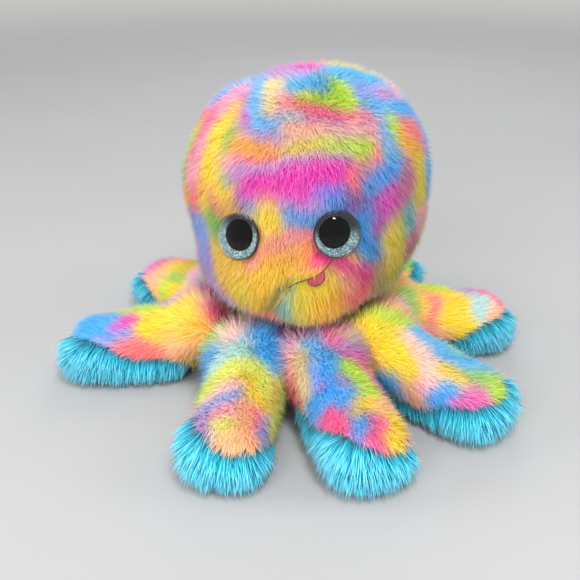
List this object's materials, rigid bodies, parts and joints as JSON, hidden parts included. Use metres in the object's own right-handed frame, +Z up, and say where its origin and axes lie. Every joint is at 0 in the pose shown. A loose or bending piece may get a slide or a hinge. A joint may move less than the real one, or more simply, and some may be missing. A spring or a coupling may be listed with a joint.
{
  "type": "plush octopus",
  "caption": "Stuffed plush octopus with a round rainbow pile head, safety eyes, a stitched smile, and padded arms with shaggy turquoise soles that spread out on the surface.",
  "frame": {"origin": "middle of the flat base, on the surface it rests on", "axes": "+Z up, -Y the way the face looks, +X to the face's left, which is the viewer's right"},
  "size_m": [0.3738, 0.3777, 0.254],
  "materials": {
    "pile": "short soft pile, tie-dyed in rainbow colours",
    "shag": "long turquoise shag",
    "backing": "knitted backing cloth",
    "stuffing": "loose polyester fibre",
    "lens": "clear polished plastic",
    "pupil": "black, glossy",
    "glitter": "silvery blue glitter",
    "plastic": "black moulded plastic",
    "thread": "embroidery thread",
    "felt": "felt"
  },
  "bodies": {
    "head": {"head_centre_panel": "pile", "head_right_panel": "pile", "head_left_panel": "pile", "head_stuffing": "stuffing", "base_panel": "backing", "mouth_stitching": "thread", "tongue": "felt", "left_eye_lens": "lens", "left_eye_pupil": "pupil", "left_eye_glitter_disc": "glitter", "left_eye_backplate": "plastic", "left_eye_washer": "plastic", "right_eye_lens": "lens", "right_eye_pupil": "pupil", "right_eye_glitter_disc": "glitter", "right_eye_backplate": "plastic", "right_eye_washer": "plastic"},
    "front_left_arm": {"front_left_arm_cover": "pile", "front_left_arm_sole": "shag", "front_left_arm_stuffing": "stuffing"},
    "front_right_arm": {"front_right_arm_cover": "pile", "front_right_arm_sole": "shag", "front_right_arm_stuffing": "stuffing"},
    "right_front_arm": {"right_front_arm_cover": "pile", "right_front_arm_sole": "shag", "right_front_arm_stuffing": "stuffing"},
    "right_rear_arm": {"right_rear_arm_cover": "pile", "right_rear_arm_sole": "shag", "right_rear_arm_stuffing": "stuffing"},
    "rear_right_arm": {"rear_right_arm_cover": "pile", "rear_right_arm_sole": "shag", "rear_right_arm_stuffing": "stuffing"},
    "rear_left_arm": {"rear_left_arm_cover": "pile", "rear_left_arm_sole": "shag", "rear_left_arm_stuffing": "stuffing"},
    "left_rear_arm": {"left_rear_arm_cover": "pile", "left_rear_arm_sole": "shag", "left_rear_arm_stuffing": "stuffing"},
    "left_front_arm": {"left_front_arm_cover": "pile", "left_front_arm_sole": "shag", "left_front_arm_stuffing": "stuffing"}
  },
  "joints": [
    {"name": "front_left_arm_lift", "type": "hinge", "parent": "head", "child": "front_left_arm", "pos_m": [-0.02115, -0.05105, 0.0481], "axis": [-1, 0.0087, 0], "range_deg": [-18, 30]},
    {"name": "front_right_arm_lift", "type": "hinge", "parent": "head", "child": "front_right_arm", "pos_m": [0.02115, -0.05105, 0.0481], "axis": [-0.8788, -0.4772, 0], "range_deg": [-18, 30]},
    {"name": "right_front_arm_lift", "type": "hinge", "parent": "head", "child": "right_front_arm", "pos_m": [0.05105, -0.02115, 0.0481], "axis": [-0.4924, -0.8704, 0], "range_deg": [-18, 30]},
    {"name": "right_rear_arm_lift", "type": "hinge", "parent": "head", "child": "right_rear_arm", "pos_m": [0.05105, 0.02115, 0.0481], "axis": [0.3502, -0.9367, 0], "range_deg": [-18, 30]},
    {"name": "rear_right_arm_lift", "type": "hinge", "parent": "head", "child": "rear_right_arm", "pos_m": [0.02115, 0.05105, 0.0481], "axis": [0.8949, -0.4462, 0], "range_deg": [-18, 30]},
    {"name": "rear_left_arm_lift", "type": "hinge", "parent": "head", "child": "rear_left_arm", "pos_m": [-0.02115, 0.05105, 0.0481], "axis": [0.9681, 0.2504, 0], "range_deg": [-18, 30]},
    {"name": "left_rear_arm_lift", "type": "hinge", "parent": "head", "child": "left_rear_arm", "pos_m": [-0.05105, 0.02115, 0.0481], "axis": [0.6088, 0.7934, 0], "range_deg": [-18, 30]},
    {"name": "left_front_arm_lift", "type": "hinge", "parent": "head", "child": "left_front_arm", "pos_m": [-0.05105, -0.02115, 0.0481], "axis": [-0.1994, 0.9799, 0], "range_deg": [-18, 30]}
  ]
}
